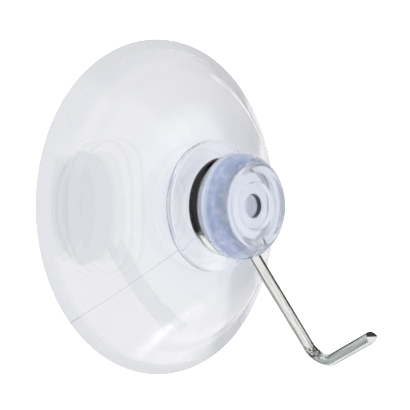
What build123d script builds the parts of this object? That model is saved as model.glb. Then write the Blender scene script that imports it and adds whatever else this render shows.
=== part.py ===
"""Suction cup hook: a clear soft-PVC cup with a mushroom head, and a bent wire hook that turns in its neck.

Millimetres. The cup's rim lies in the plane y = 0, where the pane is, and its axis is the Y axis.
The head points to -Y, and the hook hangs straight down, to -Z.
"""

import os
from math import cos, radians, sin, sqrt, tan

from build123d import *

os.makedirs("parts", exist_ok=True)

# Cup bell: a shallow spherical hollow under a straight flank, with a thin lip round its mouth
rim_radius = 30.0
rim_land = 1.0
rim_edge = 0.25
hollow_depth = 10.4
lip_width = 4.3
lip_thickness = 0.6
lip_step = 0.25
flank_height = 12.0

# Collar: the round flange that the bell hangs from
collar_radius = 11.4
collar_thickness = 1.2
collar_bevel = 0.3

# Neck: the groove that the wire ring turns in
neck_radius = 6.3
neck_length = 3.4
neck_bevel = 0.4

# Mushroom head: a round shoulder, a raised crest round a dished front, a stepped recess and a blind hole
head_radius = 9.25
head_side = 3.95
head_back_radius = 1.6
head_back_share = 0.8
shoulder_width = 2.25
shoulder_slope = 40.0
shoulder_radius = 4.6
crest_width = 1.3
crest_round = 1.1
dish_depth = 0.5
dish_ledge = 1.5
recess_depth = 0.4
recess_draft = 0.4
hole_radius = 2.05
hole_depth = 1.7

# Wire hook
wire_diameter = 2.2
swivel_clearance = 0.05
ring_bend_radius = 2.0
ring_end_angle = 16.0
shank_offset = 0.35
shank_reach = 33.9
tip_bend_radius = 2.85
tip_rise = 28.0
tip_length = 14.1

# Heights above the rim plane, and radii on the head's front, that the sizes above lead to
collar_face = flank_height + collar_thickness
head_back = collar_face + neck_length
shoulder_height = head_back + head_side
crest_height = shoulder_height + shoulder_width * tan(radians(shoulder_slope))
dish_floor = crest_height - dish_depth
recess_floor = dish_floor - recess_depth
hole_floor = recess_floor - hole_depth
ring_height = collar_face + neck_length / 2
crest_radius = head_radius - shoulder_width
dish_radius = crest_radius - crest_width
recess_radius = dish_radius - dish_ledge

# The profile is drawn with the radius along X and the height above the rim along -Y
profile_plane = Plane(origin=(0, 0, 0), x_dir=(1, 0, 0), z_dir=(0, 0, -1))


def suction_cup():
    """The whole moulding, turned from one closed profile."""
    hollow_mouth = rim_radius - rim_land
    hollow_sphere = (hollow_mouth**2 + hollow_depth**2) / (2 * hollow_depth)
    sphere_centre = hollow_depth - hollow_sphere
    hollow_middle = hollow_mouth / 2
    lip_radius = rim_radius - lip_width
    lip_top = sphere_centre + sqrt((hollow_sphere + lip_thickness) ** 2 - lip_radius**2)
    head_overhang = head_radius - neck_radius - neck_bevel
    back_round = min(head_back_radius, head_overhang * head_back_share)

    with BuildPart() as cup:
        with BuildSketch(profile_plane):
            with BuildLine():
                ThreePointArc(
                    (0, hollow_depth),
                    (hollow_middle, sphere_centre + sqrt(hollow_sphere**2 - hollow_middle**2)),
                    (hollow_mouth, 0),
                )
                Polyline(
                    (hollow_mouth, 0),
                    (rim_radius, 0),
                    (rim_radius, rim_edge),
                    (lip_radius, lip_top),
                    (lip_radius - lip_step, lip_top + 2 * lip_step),
                    (collar_radius, flank_height),
                    (collar_radius, collar_face - collar_bevel),
                    (collar_radius - collar_bevel, collar_face),
                    (neck_radius + neck_bevel, collar_face),
                    (neck_radius, collar_face + neck_bevel),
                    (neck_radius, head_back - neck_bevel),
                    (neck_radius + neck_bevel, head_back),
                )
                FilletPolyline(
                    (neck_radius + neck_bevel, head_back),
                    (head_radius, head_back),
                    (head_radius, shoulder_height),
                    (crest_radius, crest_height),
                    (dish_radius, dish_floor),
                    radius=[back_round, shoulder_radius, crest_round],
                )
                Polyline(
                    (dish_radius, dish_floor),
                    (recess_radius, dish_floor),
                    (recess_radius - recess_draft, recess_floor),
                    (hole_radius, recess_floor),
                    (hole_radius, hole_floor),
                    (0, hole_floor),
                    (0, hollow_depth),
                )
            make_face()
        revolve(axis=Axis.Y)
    return cup.part


def wire_hook():
    """One length of round wire: a ring round the neck, a shank just beside its centre line, and a tip."""
    ring_radius = neck_radius + swivel_clearance + wire_diameter / 2
    ring_plane = Plane(origin=(0, -ring_height, 0), x_dir=(1, 0, 0), z_dir=(0, -1, 0))
    bend_side = ring_bend_radius - shank_offset
    bend_centre = Vector(bend_side, -sqrt((ring_radius + ring_bend_radius) ** 2 - bend_side**2))
    leave = bend_centre * (ring_radius / (ring_radius + ring_bend_radius))
    shank_top = Vector(-shank_offset, bend_centre.Y)
    bend_middle = bend_centre + (leave + shank_top - bend_centre * 2).normalized() * ring_bend_radius
    free_end = Vector(-sin(radians(ring_end_angle)), -cos(radians(ring_end_angle))) * ring_radius

    turn = radians(90 + tip_rise)
    bend_start = Vector(-shank_offset, -ring_height, -shank_reach)
    bend_pivot = bend_start + Vector(0, -tip_bend_radius, 0)

    def on_bend(angle):
        return bend_pivot + Vector(0, cos(angle), -sin(angle)) * tip_bend_radius

    bend_end = on_bend(turn)
    tip_end = bend_end + Vector(0, -sin(turn), -cos(turn)) * tip_length

    with BuildPart() as hook:
        with BuildLine() as path:
            ThreePointArc(
                ring_plane.from_local_coords(free_end),
                ring_plane.from_local_coords(Vector(0, ring_radius)),
                ring_plane.from_local_coords(leave),
            )
            ThreePointArc(
                ring_plane.from_local_coords(leave),
                ring_plane.from_local_coords(bend_middle),
                ring_plane.from_local_coords(shank_top),
            )
            Line(ring_plane.from_local_coords(shank_top), bend_start)
            ThreePointArc(bend_start, on_bend(turn / 2), bend_end)
            Line(bend_end, tip_end)
        with BuildSketch(Plane(origin=tip_end, z_dir=tip_end - bend_end)):
            Circle(wire_diameter / 2)
        sweep(path=path.wire())
    return hook.part


pieces = {"suction_cup": suction_cup(), "wire_hook": wire_hook()}
for name, piece in pieces.items():
    export_step(piece, f"parts/{name}.step")
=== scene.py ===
from math import atan2, ceil, cos, exp, pi, radians, sin, sqrt, tan

import bmesh
import bpy
from mathutils import Matrix, Vector, noise


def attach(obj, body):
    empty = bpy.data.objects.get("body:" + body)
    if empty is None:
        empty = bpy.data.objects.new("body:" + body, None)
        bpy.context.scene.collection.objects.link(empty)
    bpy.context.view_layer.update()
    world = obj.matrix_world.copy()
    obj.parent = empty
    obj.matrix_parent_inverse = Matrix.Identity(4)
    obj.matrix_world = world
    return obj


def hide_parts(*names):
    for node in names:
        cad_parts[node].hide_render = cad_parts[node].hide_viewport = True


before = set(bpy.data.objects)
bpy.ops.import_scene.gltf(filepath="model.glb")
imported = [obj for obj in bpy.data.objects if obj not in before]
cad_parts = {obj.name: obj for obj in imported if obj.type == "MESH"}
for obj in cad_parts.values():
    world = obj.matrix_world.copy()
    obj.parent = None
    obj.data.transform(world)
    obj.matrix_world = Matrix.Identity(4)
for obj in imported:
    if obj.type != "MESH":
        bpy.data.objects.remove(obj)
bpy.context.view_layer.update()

# The camera. It stands to the left of the hook, above it, and looks at the cup from 45 degrees off its
# axis. The picture was taken with the hook leaning, so the camera is rolled and the hook still hangs
# straight down. Camera axes here are right, down and ahead.
picture_size = 410
focal_length_px = 1500
sensor_width = 36
nearest_seen = 0.01
axis_tilt = radians(45.33)
axis_roll = radians(-0.57)
hook_lean = radians(40.4)
rim_from_camera = Vector((-0.00701, 0.00031, 0.26915))

axis_seen = Vector((sin(axis_tilt) * cos(axis_roll), sin(axis_tilt) * sin(axis_roll), -cos(axis_tilt)))
side_seen = Vector((cos(axis_tilt) * cos(axis_roll), cos(axis_tilt) * sin(axis_roll), sin(axis_tilt)))
top_seen = axis_seen.cross(side_seen)
down_seen = side_seen * sin(hook_lean) - top_seen * cos(hook_lean)
across_seen = axis_seen.cross(down_seen)
to_world = Matrix((across_seen, -axis_seen, -down_seen))

camera = bpy.data.objects.new("camera", bpy.data.cameras.new("camera"))
bpy.context.scene.collection.objects.link(camera)
camera.data.sensor_width = sensor_width
camera.data.lens = focal_length_px / picture_size * sensor_width
camera.data.clip_start = nearest_seen
camera_place = -(to_world @ rim_from_camera)
turn_over = Matrix.Diagonal((1, -1, -1))
camera.matrix_world = Matrix.Translation(camera_place) @ (to_world @ turn_over).to_4x4()
bpy.context.scene.camera = camera
bpy.context.scene.view_settings.view_transform = "Standard"


# The suction cup: one moulding in clear soft PVC with a faint blue cast. The bell, the collar, the neck
# and the mushroom head come out of one two-part mould that opens up and down, so a fine seam runs along
# both sides, and a core forms the hollow. The hook's ring turns in the groove of its neck.
rim_radius = 0.02998
rim_land = 0.001
rim_edge = 0.00025
hollow_depth = 0.0104
lip_width = 0.0043
lip_thickness = 0.0006
lip_step = 0.00025
flank_height = 0.012
collar_radius = 0.0114
collar_face = 0.0132
neck_radius = 0.0063
neck_length = 0.0034
head_radius = 0.00925
head_side = 0.00395
shoulder_slope = radians(40)
crest_radius = 0.0070
dish_radius = 0.0057
dish_depth = 0.0005
recess_radius = 0.0042
recess_depth = 0.0004
recess_draft = 0.0004
hole_radius = 0.00205
hole_depth = 0.0017

# How softly each corner of the moulding is rounded
mouth_round = 0.0008
land_round = 0.00012
edge_round = 0.0001
lip_round = 0.001
lip_softness = 0.0012
collar_foot_round = 0.0003
collar_round = 0.00035
neck_round = 0.0005
head_back_round = 0.0016
shoulder_round = 0.0046
crest_round = 0.0011
dish_round = 0.0006
ledge_round = 0.0003
recess_round = 0.0002
hole_floor_round = 0.0003

# The seam is a low ridge, highest where the halves of the mould met
seam_height = 0.00002
seam_width = 0.00008
seam_offsets = [0, 0.00004, 0.00008, 0.00014, 0.00024, 0.00042]
seam_least_radius = 0.006

# Soft PVC takes a set in its box: the rim is pressed in a little on this side
set_way = radians(-40)
set_reach = radians(72)
set_depth = 0.0011

hollow_steps = 60
mouth_points = 8
plain_columns = 170
straight_step = 0.0007

refraction = 1.53
clearest = 0.96
clear_colour = (0.955, 0.955, 0.97, 1)
head_colour = (0.95, 0.96, 0.985, 1)
# painted blue shade on the head's upper left shoulder
painted_shade_blue = (0.38, 0.45, 0.64, 1)
rim_colour = (0.84, 0.85, 0.88, 1)
# painted light on the far right of the lip's cloudy band
painted_light_rim_colour = (0.93, 0.94, 0.98, 1)
# painted shade on the outer part of the blind hole's wall
painted_hole_shade_colour = (0.03, 0.035, 0.06, 1)
hole_floor_colour = (0.66, 0.71, 0.79, 1)
seam_colour = (0.42, 0.45, 0.52, 1)
depth_colour = (0.62, 0.74, 1.0, 1)
depth_density = 38

# How cloudy each place is, and how dark the seam line
head_cloud = 0.26
collar_cloud = 0.6
shoulder_cloud = 0.68
hole_wall_cloud = 0.85
rim_cloud = 0.88
seam_strength = 0.55

# The painted blue shade on the shoulder is mottled, and the mould left a slow ripple that is stronger on
# the head
mottle_thin = 0.36
mottle_thick = 0.62
mottle_least = 0.76
bell_polish = 0.05
head_polish = 0.06
bell_ripple = 0.25
head_ripple = 0.6
ripple_depth = 0.0003


def rounded(corners, turn_step=radians(7)):
    """The line through corners of (radius, height, rounding), with an arc at each rounded corner."""
    points = [Vector(corners[0][:2])]
    for before, corner, after in zip(corners, corners[1:], corners[2:]):
        here = Vector(corner[:2])
        arriving = (here - Vector(before[:2])).normalized()
        leaving = (Vector(after[:2]) - here).normalized()
        turn = arriving.angle(leaving)
        reach = corner[2] * tan(turn / 2)
        start = here - arriving * reach
        centre = here + (leaving - arriving).normalized() * (corner[2] / cos(turn / 2))
        steps = max(2, ceil(turn / turn_step))
        spoke = start - centre
        way = 1 if arriving.x * leaving.y - arriving.y * leaving.x > 0 else -1
        for step in range(steps + 1):
            angle = way * turn * step / steps
            turned = Vector((
                spoke.x * cos(angle) - spoke.y * sin(angle),
                spoke.x * sin(angle) + spoke.y * cos(angle),
            ))
            points.append(centre + turned)
    points.append(Vector(corners[-1][:2]))
    return points


def filled(points, step):
    """The same line, with extra points so that no stretch is longer than step."""
    line = [points[0]]
    for start, end in zip(points, points[1:]):
        parts = max(1, ceil((end - start).length / step))
        line += [start.lerp(end, part / parts) for part in range(1, parts + 1)]
    return line


hollow_mouth = rim_radius - rim_land
hollow_sphere = (hollow_mouth**2 + hollow_depth**2) / (2 * hollow_depth)
lip_radius = rim_radius - lip_width
lip_top = hollow_depth - hollow_sphere + sqrt((hollow_sphere + lip_thickness) ** 2 - lip_radius**2)
head_back = collar_face + neck_length
shoulder_height = head_back + head_side
flank_foot = Vector((lip_radius - lip_step, lip_top + 2 * lip_step))
flank_rise = (flank_height - flank_foot.y) / (flank_foot.x - collar_radius)
crest_height = shoulder_height + (head_radius - crest_radius) * tan(shoulder_slope)
dish_floor = crest_height - dish_depth
recess_floor = dish_floor - recess_depth
hole_floor = recess_floor - hole_depth

hollow_arc = []
for step in range(hollow_steps):
    across = hollow_mouth * step / hollow_steps
    hollow_arc.append(Vector((across, hollow_depth - hollow_sphere + sqrt(hollow_sphere**2 - across**2))))
outer_line = rounded([
    (hollow_arc[-1].x, hollow_arc[-1].y, 0),
    (hollow_mouth, 0, mouth_round),
    (rim_radius, 0, land_round),
    (rim_radius, rim_edge, edge_round),
    (lip_radius, lip_top, lip_round),
    (flank_foot.x - lip_softness, flank_foot.y + lip_softness * flank_rise, lip_round),
    (collar_radius, flank_height, collar_foot_round),
    (collar_radius, collar_face, collar_round),
    (neck_radius, collar_face, neck_round),
    (neck_radius, head_back, neck_round),
    (head_radius, head_back, head_back_round),
    (head_radius, shoulder_height, shoulder_round),
    (crest_radius, crest_height, crest_round),
    (dish_radius, dish_floor, dish_round),
    (recess_radius, dish_floor, ledge_round),
    (recess_radius - recess_draft, recess_floor, recess_round),
    (hole_radius, recess_floor, recess_round),
    (hole_radius, hole_floor, hole_floor_round),
    (0, hole_floor, 0),
])
profile = hollow_arc[:-1] + filled(outer_line, straight_step)


def ring_angles(radius):
    """Angles round the axis for a ring of this radius, closer together beside the two seams."""
    beside = [offset / max(radius, seam_least_radius) for offset in seam_offsets]
    between = pi - 2 * beside[-1]
    plain = [beside[-1] + between * column / plain_columns for column in range(1, plain_columns)]
    half = beside + plain + [pi - angle for angle in reversed(beside[1:])]
    return half + [pi + angle for angle in half]


def settled(radius, angle):
    """How far out a point of the soft bell lies, on the side that took a set."""
    off = abs((angle - set_way + pi) % (2 * pi) - pi)
    outward = max(0, (radius - collar_radius) / (rim_radius - collar_radius))
    if off > set_reach:
        return radius
    return radius - set_depth * outward**2 * (1 + cos(pi * off / set_reach)) / 2


def made_from(mesh, name):
    """The finished mesh as an object in the scene."""
    data = bpy.data.meshes.new(name)
    mesh.to_mesh(data)
    mesh.free()
    made = bpy.data.objects.new(name, data)
    bpy.context.scene.collection.objects.link(made)
    return made


seam_shape = [exp(-(offset / seam_width) ** 2) for offset in seam_offsets]
seam_half = seam_shape + [0.0] * (plain_columns - 1) + seam_shape[:0:-1]
seam_around = seam_half + seam_half
seam_bottom = lip_top * 0.2
seam_top = crest_height * 0.985
seam_inside = neck_radius * 0.9

cup_mesh = bmesh.new()
rings = []
for index, point in enumerate(profile):
    if index in (0, len(profile) - 1):
        rings.append([cup_mesh.verts.new((0, -point.y, 0))])
        continue
    ahead = profile[index + 1] - profile[index - 1]
    outward = Vector((ahead.y, -ahead.x)).normalized()
    past_mouth = index > hollow_steps + mouth_points
    on_seam = past_mouth and seam_bottom < point.y < seam_top and point.x > seam_inside
    ring = []
    for angle, seam in zip(ring_angles(point.x), seam_around):
        spot = point.copy()
        if on_seam and seam > 0:
            spot += outward * seam_height * seam
        spot.x = settled(spot.x, angle)
        ring.append(cup_mesh.verts.new((spot.x * cos(angle), -spot.y, spot.x * sin(angle))))
    rings.append(ring)
for inner, outer in zip(rings, rings[1:]):
    count = max(len(inner), len(outer))
    for column in range(count):
        following = (column + 1) % count
        if len(inner) == 1:
            cup_mesh.faces.new((inner[0], outer[following], outer[column]))
        elif len(outer) == 1:
            cup_mesh.faces.new((inner[column], inner[following], outer[0]))
        else:
            cup_mesh.faces.new((inner[column], inner[following], outer[following], outer[column]))
bmesh.ops.recalc_face_normals(cup_mesh, faces=cup_mesh.faces)
clear_cup = made_from(cup_mesh, "clear_cup")
clear_cup.data.shade_smooth()


def ramp(tree, source, start, end, low=0.0, high=1.0):
    """A value that goes softly from low to high while the source goes from start to end."""
    step = tree.nodes.new("ShaderNodeMapRange")
    step.interpolation_type = "SMOOTHSTEP"
    step.inputs["From Min"].default_value = start
    step.inputs["From Max"].default_value = end
    step.inputs["To Min"].default_value = low
    step.inputs["To Max"].default_value = high
    tree.links.new(source, step.inputs["Value"])
    return step.outputs["Result"]


def tint(tree, amount, first, second):
    """A colour between first, which may come from another node, and second."""
    mix = tree.nodes.new("ShaderNodeMix")
    mix.data_type = "RGBA"
    tree.links.new(amount, mix.inputs["Factor"])
    if isinstance(first, tuple):
        mix.inputs[6].default_value = first
    else:
        tree.links.new(first, mix.inputs[6])
    mix.inputs[7].default_value = second
    return mix.outputs[2]


def combine(tree, operation, *values):
    """The sum, product or the like of these values, each a number or another node's result."""
    step = tree.nodes.new("ShaderNodeMath")
    step.operation = operation
    for slot, value in enumerate(values):
        if isinstance(value, (int, float)):
            step.inputs[slot].default_value = value
        else:
            tree.links.new(value, step.inputs[slot])
    return step.outputs[0]


def overlap(tree, *shares):
    """Where all of these shares meet."""
    found = shares[-1]
    for share in reversed(shares[:-1]):
        found = combine(tree, "MULTIPLY", share, found)
    return found


def measured(tree, operation, vector, against=(0, 0, 0)):
    """A distance, a length or a likeness of direction: a vector measured against a fixed one."""
    step = tree.nodes.new("ShaderNodeVectorMath")
    step.operation = operation
    tree.links.new(vector, step.inputs[0])
    step.inputs[1].default_value = against
    return step.outputs["Value"]


def grain(tree, place, scale, detail, roughness=0.5):
    """Uneven patches that run through the stuff."""
    patches = tree.nodes.new("ShaderNodeTexNoise")
    patches.inputs["Scale"].default_value = scale
    patches.inputs["Detail"].default_value = detail
    patches.inputs["Roughness"].default_value = roughness
    tree.links.new(place, patches.inputs["Vector"])
    return patches.outputs["Fac"]


def relief(tree, height, depth):
    """Fine ups and downs of the surface, up to this depth."""
    bump = tree.nodes.new("ShaderNodeBump")
    bump.inputs["Distance"].default_value = depth
    tree.links.new(height, bump.inputs["Height"])
    return bump


# Where the looks of the skin change, as distances from the axis and heights above the rim
skin_start = hollow_sphere + 0.0001
skin_full = hollow_sphere + 0.0002
milky_start = collar_face + 0.0018
milky_full = head_back + 0.0004
collar_haze_start = collar_radius - 0.0004
collar_haze_full = collar_radius - 0.0001
collar_haze_kept = collar_radius + 0.0003
collar_haze_gone = collar_radius + 0.0006
collar_haze_foot = flank_height + 0.0001
collar_haze_face = flank_height + 0.0003
rim_haze_start = rim_radius - 0.0024
rim_haze_full = rim_radius - 0.0013
right_haze_start = rim_radius - 0.0044
right_haze_full = rim_radius - 0.0034
shoulder_haze_start = crest_radius - 0.0002
shoulder_haze_full = crest_radius + 0.0008
shoulder_haze_foot = head_back + 0.0018
shoulder_haze_top = head_back + 0.0030
hole_wall_start = hole_radius - 0.0002
hole_wall_full = hole_radius - 0.0001
hole_wall_kept = hole_radius + 0.00005
hole_wall_gone = hole_radius + 0.00015
hole_mouth_start = recess_floor - 0.0001
hole_mouth_full = recess_floor - 0.0003
hole_shade_kept = recess_floor - 0.0011
hole_shade_gone = recess_floor - 0.0013
hole_floor_kept = hole_radius - 0.0003
hole_floor_gone = hole_radius - 0.0001
hole_floor_start = recess_floor - 0.0012
hole_floor_full = recess_floor - 0.0015
seam_line_kept = 0.00006
seam_line_gone = 0.00016
seam_line_start = head_radius - 0.0012
seam_line_full = head_radius - 0.0006

# How far up and to the left each side starts and is full
shoulder_side = (-0.004, 0.004)
right_side = (-0.004, -0.016)
far_right_side = (-0.016, -0.028)


def clear_pvc():
    """Clear soft PVC: glossy off the mould, faintly blue through its thickness, milky in the head."""
    material = bpy.data.materials.new("clear_pvc")
    material.use_nodes = True
    tree = material.node_tree
    shader = tree.nodes["Principled BSDF"]
    shader.inputs["IOR"].default_value = refraction
    place = tree.nodes.new("ShaderNodeTexCoord").outputs["Object"]
    along = tree.nodes.new("ShaderNodeSeparateXYZ")
    tree.links.new(place, along.inputs["Vector"])
    x, y, z = along.outputs["X"], along.outputs["Y"], along.outputs["Z"]

    # How far a point lies from the axis, and how far up and to the left
    squares = combine(tree, "ADD", combine(tree, "MULTIPLY", x, x), combine(tree, "MULTIPLY", z, z))
    reach = combine(tree, "POWER", squares, 0.5)
    leftward = combine(tree, "SUBTRACT", z, x)

    # Which points lie on the outside, not in the hollow
    from_hollow = measured(tree, "DISTANCE", place, (0, hollow_sphere - hollow_depth, 0))
    outside = ramp(tree, from_hollow, skin_start, skin_full)

    # The head starts behind the neck; it is thick and looks milky. The collar's edge is a bit cloudy too.
    in_head = ramp(tree, y, -milky_start, -milky_full)
    on_collar = overlap(
        tree,
        ramp(tree, reach, collar_haze_start, collar_haze_full),
        ramp(tree, y, -collar_haze_foot, -collar_haze_face),
        ramp(tree, reach, collar_haze_gone, collar_haze_kept),
    )

    # The lip is cloudy at its edge, in a band that is wider on the right. Far to the right the band is
    # painted lighter: painted light.
    edge_band = ramp(tree, reach, rim_haze_start, rim_haze_full)
    right_band = overlap(
        tree,
        ramp(tree, reach, right_haze_start, right_haze_full),
        ramp(tree, leftward, *right_side),
    )
    on_rim = overlap(tree, outside, combine(tree, "MAXIMUM", edge_band, right_band))
    painted_light_right_rim = overlap(tree, on_rim, ramp(tree, leftward, *far_right_side))

    # The head's shoulder is hazy on its upper left half, and painted blue there: painted shade
    on_shoulder = overlap(
        tree,
        ramp(tree, reach, shoulder_haze_start, shoulder_haze_full),
        ramp(tree, y, -shoulder_haze_foot, -shoulder_haze_top),
    )
    hazy_and_painted_shade_side = overlap(tree, on_shoulder, ramp(tree, leftward, *shoulder_side))
    patches = grain(tree, place, scale=750, detail=5)
    mottle = ramp(tree, patches, mottle_thin, mottle_thick, mottle_least, 1.0)

    # The blind hole's wall is painted dark on its outer part: painted shade. Its floor is tinted a greyer
    # blue.
    on_hole_wall = overlap(
        tree,
        ramp(tree, reach, hole_wall_start, hole_wall_full),
        ramp(tree, reach, hole_wall_gone, hole_wall_kept),
        ramp(tree, y, -hole_mouth_start, -hole_mouth_full),
    )
    painted_hole_shade = overlap(tree, on_hole_wall, ramp(tree, y, -hole_shade_gone, -hole_shade_kept))
    on_hole_floor = overlap(
        tree,
        ramp(tree, reach, hole_floor_gone, hole_floor_kept),
        ramp(tree, y, -hole_floor_start, -hole_floor_full),
        outside,
    )

    # The two halves of the mould meet at z = 0 and leave a fine darker line
    on_seam_line = overlap(
        tree,
        ramp(tree, combine(tree, "ABSOLUTE", z), seam_line_kept, seam_line_gone, seam_strength, 0.0),
        outside,
        ramp(tree, reach, seam_line_start, seam_line_full),
    )

    body = tint(tree, in_head, clear_colour, head_colour)
    # painted blue shade on the upper left of the shoulder
    body = tint(tree, overlap(tree, hazy_and_painted_shade_side, mottle), body, painted_shade_blue)
    body = tint(tree, on_rim, body, rim_colour)
    # painted light on the far right of the lip
    body = tint(tree, painted_light_right_rim, body, painted_light_rim_colour)
    # painted shade on the outer wall of the blind hole
    body = tint(tree, painted_hole_shade, body, painted_hole_shade_colour)
    body = tint(tree, on_hole_floor, body, hole_floor_colour)
    body = tint(tree, on_seam_line, body, seam_colour)
    tree.links.new(body, shader.inputs["Base Color"])

    # The haze is a skin: light that is already inside the plastic runs along it undimmed
    cloudy = combine(tree, "MULTIPLY", in_head, head_cloud)
    for where, cloud in (
        (on_collar, collar_cloud),
        (hazy_and_painted_shade_side, shoulder_cloud),
        (on_hole_wall, hole_wall_cloud),
        (on_rim, rim_cloud),
    ):
        cloudy = combine(tree, "MAXIMUM", cloudy, combine(tree, "MULTIPLY", where, cloud))
    from_inside = tree.nodes.new("ShaderNodeNewGeometry").outputs["Backfacing"]
    cloudy = combine(tree, "MULTIPLY", cloudy, combine(tree, "SUBTRACT", 1.0, from_inside))
    tree.links.new(combine(tree, "SUBTRACT", clearest, cloudy), shader.inputs["Transmission Weight"])
    tree.links.new(ramp(tree, in_head, 0, 1, bell_polish, head_polish), shader.inputs["Roughness"])

    ripple = relief(tree, grain(tree, place, scale=160, detail=3), ripple_depth)
    tree.links.new(ramp(tree, in_head, 0, 1, bell_ripple, head_ripple), ripple.inputs["Strength"])
    tree.links.new(ripple.outputs["Normal"], shader.inputs["Normal"])

    depth = tree.nodes.new("ShaderNodeVolumeAbsorption")
    depth.inputs["Color"].default_value = depth_colour
    depth.inputs["Density"].default_value = depth_density
    tree.links.new(depth.outputs["Volume"], tree.nodes["Material Output"].inputs["Volume"])
    return material


clear_cup.data.materials.append(clear_pvc())
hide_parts("suction_cup")
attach(clear_cup, "cup")


# The wire hook: one length of bright zinc-plated steel wire, pinched off with side cutters at the tip. It
# is bent to a ring that sits loose round the neck, comes out straight past the cup's edge, and is bent up
# again at the tip. The jaws that held it left marks inside the tip bend.
wire_radius = 0.0011
swivel_clearance = 0.00005
ring_bend = 0.002
ring_end_angle = radians(16)
shank_offset = 0.00035
shank_reach = 0.0339
tip_bend = 0.00285
tip_rise = radians(28)
tip_length = 0.0141
wire_sides = 48
wire_step = 0.00025

# The pinched cut slopes back from a ridge across the wire, by these amounts above and below it
cut_turn = radians(-44)
cut_length = 0.0009
cut_upper = 0.00050
cut_lower = 0.00045
cut_ridge = 0.00028

# The marks of the jaws start on the shank and fade out halfway round the bend
mark_run = 0.0028
mark_depth = 0.00016
mark_pitch = 0.00055
mark_spread = 0.35
mark_pattern = 7.3
jaw_inward = 0.8
jaw_leftward = 0.7
jaw_edge = 0.1
jaw_bite = 2.5
map_length = 0.01
sharp_turn = radians(40)

ring_radius = neck_radius + swivel_clearance + wire_radius
ring_height = collar_face + neck_length / 2

# Die lines run along the wire and shade the plate, which is a little cloudy
die_line_stretch = (26, 1.6, 1)
die_line_strength = 0.8
die_line_depth = 0.00006
die_line_dull = 0.36
die_line_bright = 0.56
dull_plate_colour = (0.60, 0.61, 0.60, 1)
bright_plate_colour = (0.92, 0.935, 0.90, 1)
clear_plate_roughness = 0.10
cloudy_plate_roughness = 0.26

# The bending tool left scuffs inside the tip bend. The upper left of the ring is painted black: a painted
# dark reflection.
scuff_colour = (0.07, 0.07, 0.075, 1)
scuff_place = (-0.0010, -0.0158, -0.0346)
scuff_full = 0.0008
scuff_gone = 0.0021
scuff_patch_start = 0.42
scuff_patch_full = 0.52
scuff_most = 0.9
painted_reflection_black = (0.035, 0.035, 0.035, 1)
black_way = radians(119)
black_raggedness = 0.25
black_start = 0.60
black_full = 0.76
black_inner = ring_radius + 0.0003
black_outer = ring_radius + 0.0007


def arc_points(centre, start, towards, turn):
    """Points on an arc that leaves start in the direction towards and turns by turn about centre."""
    spoke = start - centre
    heading = towards.normalized() * spoke.length
    steps = max(4, ceil(turn * spoke.length / wire_step))
    turns = [turn * k / steps for k in range(1, steps + 1)]
    return [centre + spoke * cos(angle) + heading * sin(angle) for angle in turns]


groove = Vector((0, -ring_height, 0))
free_end = groove + Vector((-sin(ring_end_angle), 0, -cos(ring_end_angle))) * ring_radius
bend_side = ring_bend - shank_offset
bend_centre = groove + Vector((bend_side, 0, -sqrt((ring_radius + ring_bend) ** 2 - bend_side**2)))
leave_angle = atan2(bend_side, groove.z - bend_centre.z)
ring_turn = 2 * pi - ring_end_angle - leave_angle
route = [free_end]
route += arc_points(groove, free_end, Vector((-cos(ring_end_angle), 0, sin(ring_end_angle))), ring_turn)
leaving = (route[-1] - groove).normalized()
route += arc_points(bend_centre, route[-1], Vector((leaving.z, 0, -leaving.x)), pi / 2 - leave_angle)
shank_start = route[-1].copy()
shank_end = Vector((-shank_offset, -ring_height, -shank_reach))
shank_parts = ceil((shank_start - shank_end).length / wire_step)
route += [shank_start.lerp(shank_end, part / shank_parts) for part in range(1, shank_parts + 1)]
tip_centre = shank_end + Vector((0, -tip_bend, 0))
bend_first = len(route)
route += arc_points(tip_centre, shank_end, Vector((0, 0, -1)), pi / 2 + tip_rise)
bend_last = len(route)
tip_way = Vector((0, -cos(tip_rise), sin(tip_rise)))
tip_up = Vector((0, sin(tip_rise), cos(tip_rise)))
tip_start = route[-1].copy()
tip_parts = ceil(tip_length / wire_step)
route += [tip_start + tip_way * tip_length * part / tip_parts for part in range(1, tip_parts + 1)]

wire_mesh = bmesh.new()
wire_map = wire_mesh.loops.layers.uv.new("wire")
across_wire = Vector((0, 1, 0))
wire_rings = []
wire_lengths = []
length = 0.0
marked_from = bend_first - round(mark_run / wire_step)
marked_to = (bend_first + bend_last) // 2
cut_from = len(route) - round(cut_length / wire_step)
cut_side = Vector((1, 0, 0)) * -sin(cut_turn) + tip_up * cos(cut_turn)
for index, place in enumerate(route):
    before = route[max(index - 1, 0)]
    after = route[min(index + 1, len(route) - 1)]
    ahead = (after - before).normalized()
    across_wire = (across_wire - ahead * across_wire.dot(ahead)).normalized()
    beside_wire = ahead.cross(across_wire)
    if index:
        length += (place - before).length
    wire_lengths.append(length)
    inward = tip_centre - place
    inward = (inward - ahead * inward.dot(ahead)).normalized()
    jaw_way = (inward * jaw_inward + Vector((-1, 0, 0)) * jaw_leftward).normalized()
    ring = []
    for side in range(wire_sides):
        angle = 2 * pi * side / wire_sides
        way = across_wire * cos(angle) + beside_wire * sin(angle)
        spot = place + way * wire_radius
        if marked_from < index < marked_to:
            held = max(0, way.dot(jaw_way) - jaw_edge)
            fade = sin(pi * (index - marked_from) / (marked_to - marked_from))
            dent = 0.5 + 0.5 * noise.noise(Vector((length / mark_pitch, side * mark_spread, mark_pattern)))
            spot -= way * mark_depth * dent * fade * min(1, held * jaw_bite)
        if index >= cut_from:
            share = (index - cut_from) / (len(route) - 1 - cut_from)
            across_cut = way.dot(cut_side)
            back = cut_upper * across_cut if across_cut > 0 else -cut_lower * across_cut
            spot -= tip_way * back * share
        ring.append(wire_mesh.verts.new(spot))
    wire_rings.append(ring)
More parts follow.
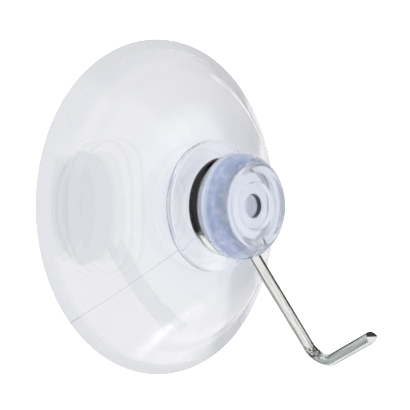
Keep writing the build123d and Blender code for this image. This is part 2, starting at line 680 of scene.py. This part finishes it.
for near, far, near_length, far_length in zip(wire_rings, wire_rings[1:], wire_lengths, wire_lengths[1:]):
    for side in range(wire_sides):
        following = (side + 1) % wire_sides
        face = wire_mesh.faces.new((near[side], near[following], far[following], far[side]))
        turns = (side, side + 1, side + 1, side)
        runs = (near_length, near_length, far_length, far_length)
        for loop, turn, run in zip(face.loops, turns, runs):
            loop[wire_map].uv = (turn / wire_sides, run / map_length)


def close_end(ring, bulge):
    """Closes an end of the wire with faces that meet in its middle, moved out by bulge."""
    middle = sum((corner.co for corner in ring), Vector()) / len(ring)
    centre = wire_mesh.verts.new(middle + bulge)
    for first, second in zip(ring, ring[1:] + ring[:1]):
        wire_mesh.faces.new((first, second, centre))


close_end(wire_rings[0], Vector())
close_end(wire_rings[-1], tip_way * cut_ridge)
bmesh.ops.recalc_face_normals(wire_mesh, faces=wire_mesh.faces)
bent_wire = made_from(wire_mesh, "bent_wire")
bent_wire.data.shade_smooth()
bent_wire.data.set_sharp_from_angle(angle=sharp_turn)


def plain_ramp(tree, source, start, end, low=0.0, high=1.0):
    """As ramp, but even all the way."""
    result = ramp(tree, source, start, end, low, high)
    result.node.interpolation_type = "LINEAR"
    return result


def plated_wire():
    """Bright zinc plate on drawn steel, with fine die lines, a slight cloud, scuffs and a painted black
    reflection on the ring.
    """
    material = bpy.data.materials.new("plated_wire")
    material.use_nodes = True
    tree = material.node_tree
    shader = tree.nodes["Principled BSDF"]
    shader.inputs["Metallic"].default_value = 1.0

    unrolled = tree.nodes.new("ShaderNodeUVMap")
    unrolled.uv_map = "wire"
    stretched = tree.nodes.new("ShaderNodeMapping")
    stretched.inputs["Scale"].default_value = die_line_stretch
    tree.links.new(unrolled.outputs["UV"], stretched.inputs["Vector"])
    die_lines = grain(tree, stretched.outputs["Vector"], scale=1.0, detail=5, roughness=0.65)
    scratches = relief(tree, die_lines, die_line_depth)
    scratches.inputs["Strength"].default_value = die_line_strength
    tree.links.new(scratches.outputs["Normal"], shader.inputs["Normal"])
    brightness = plain_ramp(tree, die_lines, die_line_dull, die_line_bright)
    plate = tint(tree, brightness, dull_plate_colour, bright_plate_colour)

    place = tree.nodes.new("ShaderNodeTexCoord").outputs["Object"]
    cloud = grain(tree, place, scale=900, detail=4)
    polish = plain_ramp(tree, cloud, 0, 1, clear_plate_roughness, cloudy_plate_roughness)
    tree.links.new(polish, shader.inputs["Roughness"])

    from_scuff = measured(tree, "DISTANCE", place, scuff_place)
    crinkle = grain(tree, place, scale=1900, detail=3)
    scuffed = overlap(
        tree,
        ramp(tree, from_scuff, scuff_gone, scuff_full),
        plain_ramp(tree, crinkle, scuff_patch_start, scuff_patch_full, 0.0, scuff_most),
    )
    plate = tint(tree, scuffed, plate, scuff_colour)

    # The painted black reflection has a ragged edge and lies on the outer side of the ring only
    outward = tree.nodes.new("ShaderNodeVectorMath")
    outward.operation = "MULTIPLY"
    outward.inputs[1].default_value = (1, 0, 1)
    tree.links.new(place, outward.inputs[0])
    bearing = tree.nodes.new("ShaderNodeVectorMath")
    bearing.operation = "NORMALIZE"
    tree.links.new(outward.outputs["Vector"], bearing.inputs[0])
    blackest = (cos(black_way), 0, sin(black_way))
    towards = measured(tree, "DOT_PRODUCT", bearing.outputs["Vector"], blackest)
    ragged = combine(tree, "MULTIPLY_ADD", cloud, black_raggedness, towards)
    reach = measured(tree, "LENGTH", outward.outputs["Vector"])
    painted_ring_reflection = overlap(
        tree,
        ramp(tree, ragged, black_start, black_full),
        ramp(tree, reach, black_inner, black_outer),
    )
    tree.links.new(tint(tree, painted_ring_reflection, plate, painted_reflection_black), shader.inputs["Base Color"])
    return material


bent_wire.data.materials.append(plated_wire())
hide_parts("wire_hook")
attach(bent_wire, "hook")


# Painted reflections: the pictures that the front and the back of the backdrop's glass pane, about 3 mm
# thick, throw of the collar, the head and the shank. They show through the bell on the left. Faint clear
# arcs, discs and shanks behind the pane stand in for them, few enough that light still gets through them
# all.
image_depths = [0.0, 0.0038]
image_columns = 96
image_collar_radius = 0.0123
image_collar_heights = [flank_height, collar_face]
image_disc_radius = 0.0103
image_disc_heights = [0.0170, 0.0206, 0.0222, 0.0290, 0.0350]
image_shank_ends = [-0.0085, -0.029]
image_facing_colour = (0.952, 0.957, 0.961, 1)
image_edge_colour = (0.92, 0.93, 0.94, 1)
image_edge_blend = 0.25


def only_through_plastic(stand_in):
    """Nothing meets this but light that comes through the cup."""
    stand_in.visible_camera = False
    stand_in.visible_diffuse = False
    stand_in.visible_glossy = False
    stand_in.visible_shadow = False


image_turns = [2 * pi * column / image_columns for column in range(image_columns)]
image_mesh = bmesh.new()
for depth in image_depths:
    collar = [
        [
            image_mesh.verts.new((
                image_collar_radius * cos(turn),
                height + depth,
                image_collar_radius * sin(turn),
            ))
            for turn in image_turns
        ]
        for height in image_collar_heights
    ]
    shank = [
        [
            image_mesh.verts.new((
                wire_radius * cos(turn) - shank_offset,
                ring_height + depth + wire_radius * sin(turn),
                end,
            ))
            for turn in image_turns
        ]
        for end in image_shank_ends
    ]
    for near, far in (collar, shank):
        for column in range(image_columns):
            following = (column + 1) % image_columns
            image_mesh.faces.new((near[column], near[following], far[following], far[column]))
for height in image_disc_heights:
    image_mesh.faces.new([
        image_mesh.verts.new((image_disc_radius * cos(turn), height, image_disc_radius * sin(turn)))
        for turn in image_turns
    ])
pane_images = made_from(image_mesh, "pane_images")
only_through_plastic(pane_images)

painted_reflections = bpy.data.materials.new("painted_reflections")
painted_reflections.use_nodes = True
dim_tree = painted_reflections.node_tree
dim_tree.nodes.clear()
grazing = dim_tree.nodes.new("ShaderNodeLayerWeight")
grazing.inputs["Blend"].default_value = image_edge_blend
see_through = dim_tree.nodes.new("ShaderNodeBsdfTransparent")
dimming = tint(dim_tree, grazing.outputs["Facing"], image_facing_colour, image_edge_colour)
dim_tree.links.new(dimming, see_through.inputs["Color"])
dim_out = dim_tree.nodes.new("ShaderNodeOutputMaterial")
dim_tree.links.new(see_through.outputs["BSDF"], dim_out.inputs["Surface"])
pane_images.data.materials.append(painted_reflections)


# Streaks of light that the collar gathers on the backdrop behind the cup. They are faint glowing strips
# on the pane, brightest in the middle, and only light through the cup meets them. Each has its start and
# end, half its width at the start and at the end, and its brightness.
streaks = [
    (Vector((-0.0018, 0, -0.0185)), Vector((-0.0262, 0, -0.0142)), 0.0007, 0.0020, 0.22),
    (Vector((0.0030, 0, -0.0180)), Vector((-0.0150, 0, -0.0195)), 0.0020, 0.0045, 0.07),
]
streak_height = 0.00003
streak_rows = 16
streak_columns = 6
streak_end_fade = 1.5
streak_colour = (1.0, 0.98, 0.94, 1)

streak_mesh = bmesh.new()
glow_layer = streak_mesh.verts.layers.float.new("glow")
for start, end, first_half, last_half, brightness in streaks:
    sideways = (end - start).normalized().cross(Vector((0, 1, 0)))
    rows = []
    for row in range(streak_rows + 1):
        share = row / streak_rows
        half = first_half + (last_half - first_half) * share
        line = []
        for column in range(streak_columns + 1):
            off = 2 * column / streak_columns - 1
            place = start.lerp(end, share) + sideways * half * off
            corner = streak_mesh.verts.new((place.x, streak_height, place.z))
            corner[glow_layer] = brightness * (1 - off**2) ** 2 * sin(pi * share) ** streak_end_fade
            line.append(corner)
        rows.append(line)
    for near, far in zip(rows, rows[1:]):
        for column in range(streak_columns):
            streak_mesh.faces.new((near[column], near[column + 1], far[column + 1], far[column]))
light_streaks = made_from(streak_mesh, "light_streaks")
only_through_plastic(light_streaks)

gathered_light = bpy.data.materials.new("gathered_light")
gathered_light.use_nodes = True
streak_tree = gathered_light.node_tree
streak_tree.nodes.clear()
how_bright = streak_tree.nodes.new("ShaderNodeAttribute")
how_bright.attribute_name = "glow"
streak_light = streak_tree.nodes.new("ShaderNodeEmission")
streak_light.inputs["Color"].default_value = streak_colour
streak_tree.links.new(how_bright.outputs["Fac"], streak_light.inputs["Strength"])
streak_clear = streak_tree.nodes.new("ShaderNodeBsdfTransparent")
streak_sum = streak_tree.nodes.new("ShaderNodeAddShader")
streak_tree.links.new(streak_clear.outputs["BSDF"], streak_sum.inputs[0])
streak_tree.links.new(streak_light.outputs["Emission"], streak_sum.inputs[1])
streak_out = streak_tree.nodes.new("ShaderNodeOutputMaterial")
streak_tree.links.new(streak_sum.outputs["Shader"], streak_out.inputs["Surface"])
light_streaks.data.materials.append(gathered_light)


# A pale board as a floor, well below the hanging hook. It is white to the eye and keeps the soft shadow
# of the cup. Metal and plastic see the backdrop in its place.
floor_height = -0.11
floor_radius = 0.9
floor_sides = 64
board_colour = (0.86, 0.86, 0.86, 1)
board_roughness = 0.9
board_glow = 0.9

floor_mesh = bmesh.new()
bmesh.ops.create_circle(floor_mesh, cap_ends=True, segments=floor_sides, radius=floor_radius)
floor = made_from(floor_mesh, "floor")
floor.data.transform(Matrix.Translation((0, 0, floor_height)))
floor.visible_glossy = False
floor.visible_transmission = False

pale_board = bpy.data.materials.new("pale_board")
pale_board.use_nodes = True
board_tree = pale_board.node_tree
board = board_tree.nodes["Principled BSDF"]
board.inputs["Base Color"].default_value = board_colour
board.inputs["Roughness"].default_value = board_roughness
board.inputs["Emission Color"].default_value = (1, 1, 1, 1)
board_rays = board_tree.nodes.new("ShaderNodeLightPath")
seen_glow = combine(board_tree, "MULTIPLY", board_rays.outputs["Is Camera Ray"], board_glow)
board_tree.links.new(seen_glow, board.inputs["Emission Strength"])
floor.data.materials.append(pale_board)


# The studio: an even pale tent with soft round boards of light and dark in it. They are light in the sky,
# so they cost no noise. Shiny, clear and dull surfaces each meet boards of their own; the eye sees white.
right_of_camera = to_world @ Vector((1, 0, 0))
above_camera = to_world @ Vector((0, -1, 0))
ahead_of_camera = to_world @ Vector((0, 0, 1))

sky = bpy.data.worlds.new("studio")
bpy.context.scene.world = sky
sky.use_nodes = True
sky_tree = sky.node_tree
sky_tree.nodes.clear()
looking = sky_tree.nodes.new("ShaderNodeTexCoord").outputs["Generated"]


def grey(strength):
    """A plain grey light."""
    return (strength, strength, strength, 1)


def hung_in(tent, boards):
    """The tent's light with soft round boards in front of it, each in front of the ones before.
    A board stands at so many degrees from straight ahead, on the side that its azimuth gives: 0 is right
    and 90 is above. It is full inside its first angle and gone at its second."""
    light = tent
    for azimuth, off_ahead, full, gone, colour in boards:
        side = right_of_camera * cos(radians(azimuth)) + above_camera * sin(radians(azimuth))
        middle = side * sin(radians(off_ahead)) + ahead_of_camera * cos(radians(off_ahead))
        facing = measured(sky_tree, "DOT_PRODUCT", looking, middle.normalized())
        covered = ramp(sky_tree, facing, cos(radians(gone)), cos(radians(full)))
        light = tint(sky_tree, covered, light, colour)
    return light


# What shiny surfaces mirror: a white board ahead and one below, dark boards above and to the right, grey
# ones to the left, and small dark ones that draw the lines along the wire
mirrored = hung_in(grey(0.95), [
    (212, 96, 36, 44, (0.46, 0.48, 0.52, 1)),
    (182, 52, 12, 20, (0.50, 0.52, 0.56, 1)),
    (70, 92, 19, 26, grey(0.03)),
    (26, 68, 28, 33, grey(0.02)),
    (270, 66, 30, 40, grey(0.92)),
    (238, 78, 12, 18, grey(0.2)),
    (0, 0, 28, 33, grey(0.9)),
    (28, 37, 7, 11, grey(0.12)),
    (330, 41, 7, 14, grey(0.2)),
    (157, 28, 12, 16, grey(0.02)),
    (292, 26, 8, 11, grey(0.05)),
])

# What lights the dull surfaces: a soft box to the right, a dark board above and a white one ahead
shining = hung_in(grey(0.97), [
    (0, 96, 18, 34, grey(1.3)),
    (70, 92, 12, 24, grey(0.1)),
    (0, 0, 34, 44, grey(1.0)),
])

# What is seen through the clear plastic: the pale tent, a little darker up to the left, white below, the
# soft box, and blue far out to the right
beyond = hung_in((0.89, 0.89, 0.90, 1), [
    (0, 96, 18, 34, grey(1.3)),
    (137, 13, 4, 10, (0.80, 0.81, 0.84, 1)),
    (300, 9, 3, 8, grey(0.99)),
    (0, 68, 15, 26, (0.45, 0.52, 0.68, 1)),
])


def sky_light(colour):
    """The light of the sky in one colour, or in a tent with its boards."""
    lamp = sky_tree.nodes.new("ShaderNodeBackground")
    if isinstance(colour, tuple):
        lamp.inputs["Color"].default_value = colour
    else:
        sky_tree.links.new(colour, lamp.inputs["Color"])
    return lamp.outputs["Background"]


def choose(ray, otherwise, chosen):
    """One light for this kind of ray, and another for the rest."""
    mix = sky_tree.nodes.new("ShaderNodeMixShader")
    sky_tree.links.new(ray, mix.inputs["Fac"])
    sky_tree.links.new(otherwise, mix.inputs[1])
    sky_tree.links.new(chosen, mix.inputs[2])
    return mix.outputs["Shader"]


rays = sky_tree.nodes.new("ShaderNodeLightPath")
tent = choose(rays.outputs["Is Glossy Ray"], sky_light(shining), sky_light(mirrored))
tent = choose(rays.outputs["Is Transmission Ray"], tent, sky_light(beyond))
tent = choose(rays.outputs["Is Camera Ray"], tent, sky_light(grey(1.0)))
sky_out = sky_tree.nodes.new("ShaderNodeOutputWorld")
sky_tree.links.new(tent, sky_out.inputs["Surface"])
